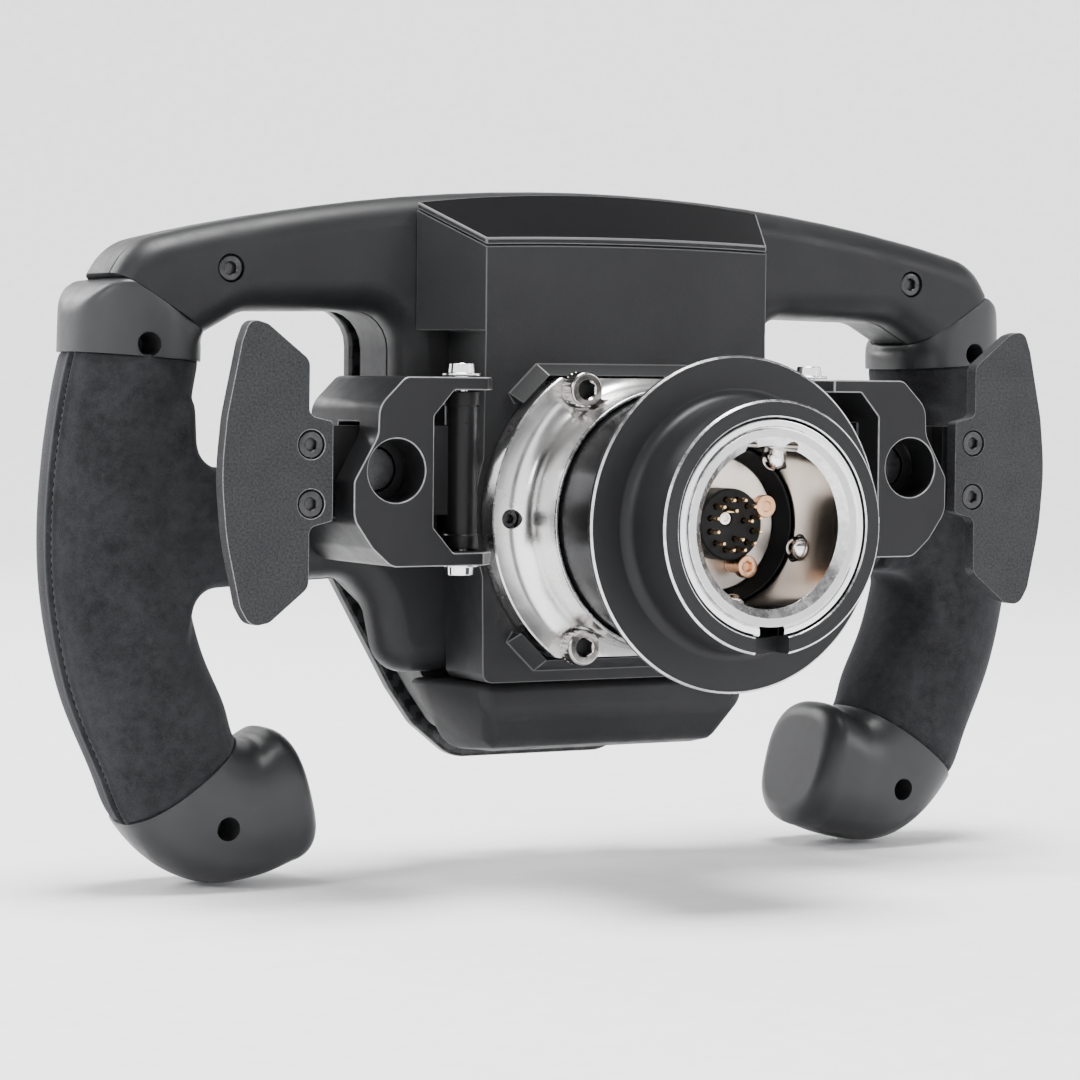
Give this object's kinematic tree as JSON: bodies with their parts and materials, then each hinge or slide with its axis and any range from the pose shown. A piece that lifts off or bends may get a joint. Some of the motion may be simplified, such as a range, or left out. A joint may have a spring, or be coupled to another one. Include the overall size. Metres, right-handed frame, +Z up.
{
  "type": "racing wheel",
  "caption": "Formula-style racing wheel for a simulator, with padded side grips, hinged shift paddles, front buttons and dials, and a sliding-collar quick release.",
  "frame": {"origin": "on the steering axis, in the plane of the quick release's mouth", "axes": "+X is the driver's right, +Y points out of the quick release towards the wheel base, +Z is up"},
  "size_m": [0.2698, 0.128, 0.1661],
  "materials": {
    "shell_plastic": "black moulded plastic with a fine grain",
    "cover_plastic": "dark grey moulded plastic with a fine grain",
    "cap_plastic": "satin dark grey moulded plastic",
    "gloss_plastic": "gloss black panel",
    "black_plastic": "black connector plastic",
    "carbon": "lacquered black composite plate",
    "suede": "charcoal brushed suede",
    "bright_metal": "turned bright aluminium",
    "chrome": "polished steel",
    "steel": "plain steel",
    "black_steel": "blackened steel",
    "anodised": "matt black anodised",
    "powder_coat": "dark grey powder coat",
    "circuit_green": "solder-masked circuit board",
    "display_glass": "black display window",
    "knob_metal": "dark anodised",
    "button_plastic": "red moulded plastic"
  },
  "bodies": {
    "body": {"front_shell": "shell_plastic", "rear_shell": "shell_plastic", "rear_housing": "cover_plastic", "lower_cover": "cover_plastic", "top_panel": "gloss_plastic", "rev_light_bar": "gloss_plastic", "front_plate": "carbon", "main_board": "circuit_green", "display_window": "display_glass", "qr_hub": "bright_metal", "connector_plate": "bright_metal", "qr_retaining_ring": "chrome", "connector_cup": "black_plastic", "connector_block": "black_plastic", "flange_bolt_1": "steel", "flange_bolt_2": "steel", "flange_bolt_3": "steel", "flange_bolt_4": "steel", "qr_spring": "steel", "right_grip_core": "steel", "right_hinge_bolt": "steel", "right_grip_pad": "suede", "right_grip_top_cap": "cap_plastic", "right_grip_bottom_cap": "cap_plastic", "right_arm_screw": "black_steel", "right_shifter_bracket": "anodised", "right_shifter_switch": "black_plastic", "left_grip_core": "steel", "left_hinge_bolt": "steel", "left_grip_pad": "suede", "left_grip_top_cap": "cap_plastic", "left_grip_bottom_cap": "cap_plastic", "left_arm_screw": "black_steel", "left_shifter_bracket": "anodised", "left_shifter_switch": "black_plastic"},
    "collar": {"qr_collar": "anodised"},
    "ball_1": {"lock_ball_1": "chrome"},
    "ball_2": {"lock_ball_2": "chrome"},
    "ball_3": {"lock_ball_3": "chrome"},
    "ball_4": {"lock_ball_4": "chrome"},
    "ball_5": {"lock_ball_5": "chrome"},
    "right_shifter": {"right_shifter_lever": "anodised", "right_shifter_magnet": "bright_metal", "right_paddle": "powder_coat", "right_paddle_bolt_1": "black_steel", "right_paddle_bolt_2": "black_steel"},
    "left_shifter": {"left_shifter_lever": "anodised", "left_shifter_magnet": "bright_metal", "left_paddle": "powder_coat", "left_paddle_bolt_1": "black_steel", "left_paddle_bolt_2": "black_steel"},
    "button_cap_1": {"button_1": "button_plastic"},
    "button_cap_2": {"button_2": "button_plastic"},
    "button_cap_3": {"button_3": "button_plastic"},
    "button_cap_4": {"button_4": "button_plastic"},
    "button_cap_5": {"button_5": "button_plastic"},
    "button_cap_6": {"button_6": "button_plastic"},
    "left_dial": {"left_knob": "knob_metal"},
    "right_dial": {"right_knob": "knob_metal"},
    "centre_dial": {"centre_knob": "knob_metal"}
  },
  "joints": [
    {"name": "collar_slide", "type": "slide", "parent": "body", "child": "collar", "axis": [0, -1, 0], "range_m": [0, 0.007], "stiffness_N_per_m": 1500, "springref_m": -0.006, "deforming": ["qr_spring"]},
    {"name": "ball_1_slide", "type": "slide", "parent": "body", "child": "ball_1", "axis": [0, 0, -1], "range_m": [0, 0.0026]},
    {"name": "ball_2_slide", "type": "slide", "parent": "body", "child": "ball_2", "axis": [0.9511, 0, -0.309], "range_m": [0, 0.0026]},
    {"name": "ball_3_slide", "type": "slide", "parent": "body", "child": "ball_3", "axis": [0.5878, 0, 0.809], "range_m": [0, 0.0026]},
    {"name": "ball_4_slide", "type": "slide", "parent": "body", "child": "ball_4", "axis": [-0.5878, 0, 0.809], "range_m": [0, 0.0026]},
    {"name": "ball_5_slide", "type": "slide", "parent": "body", "child": "ball_5", "axis": [-0.9511, 0, -0.309], "range_m": [0, 0.0026]},
    {"name": "right_shifter_hinge", "type": "hinge", "parent": "body", "child": "right_shifter", "pos_m": [0.048, -0.0595, 0.0115], "axis": [0, 0, -1], "range_deg": [0, 6], "stiffness_Nm_per_rad": 1.2, "springref_deg": -14.32},
    {"name": "left_shifter_hinge", "type": "hinge", "parent": "body", "child": "left_shifter", "pos_m": [-0.048, -0.0595, 0.0115], "axis": [0, 0, 1], "range_deg": [0, 6], "stiffness_Nm_per_rad": 1.2, "springref_deg": -14.32},
    {"name": "button_1_press", "type": "slide", "parent": "body", "child": "button_cap_1", "axis": [0, 1, 0], "range_m": [0, 0.0015], "stiffness_N_per_m": 900, "springref_m": -0.001},
    {"name": "button_2_press", "type": "slide", "parent": "body", "child": "button_cap_2", "axis": [0, 1, 0], "range_m": [0, 0.0015], "stiffness_N_per_m": 900, "springref_m": -0.001},
    {"name": "button_3_press", "type": "slide", "parent": "body", "child": "button_cap_3", "axis": [0, 1, 0], "range_m": [0, 0.0015], "stiffness_N_per_m": 900, "springref_m": -0.001},
    {"name": "button_4_press", "type": "slide", "parent": "body", "child": "button_cap_4", "axis": [0, 1, 0], "range_m": [0, 0.0015], "stiffness_N_per_m": 900, "springref_m": -0.001},
    {"name": "button_5_press", "type": "slide", "parent": "body", "child": "button_cap_5", "axis": [0, 1, 0], "range_m": [0, 0.0015], "stiffness_N_per_m": 900, "springref_m": -0.001},
    {"name": "button_6_press", "type": "slide", "parent": "body", "child": "button_cap_6", "axis": [0, 1, 0], "range_m": [0, 0.0015], "stiffness_N_per_m": 900, "springref_m": -0.001},
    {"name": "left_knob_turn", "type": "hinge", "parent": "body", "child": "left_dial", "pos_m": [-0.022, -0.128, -0.028], "axis": [0, 1, 0], "continuous": true},
    {"name": "right_knob_turn", "type": "hinge", "parent": "body", "child": "right_dial", "pos_m": [0.022, -0.128, -0.028], "axis": [0, 1, 0], "continuous": true},
    {"name": "centre_knob_turn", "type": "hinge", "parent": "body", "child": "centre_dial", "pos_m": [0, -0.128, -0.045], "axis": [0, 1, 0], "continuous": true}
  ],
  "couplings": [
    {"joint": "ball_1_slide", "follows": "collar_slide", "ratio": 0.37},
    {"joint": "ball_2_slide", "follows": "collar_slide", "ratio": 0.37},
    {"joint": "ball_3_slide", "follows": "collar_slide", "ratio": 0.37},
    {"joint": "ball_4_slide", "follows": "collar_slide", "ratio": 0.37},
    {"joint": "ball_5_slide", "follows": "collar_slide", "ratio": 0.37}
  ]
}
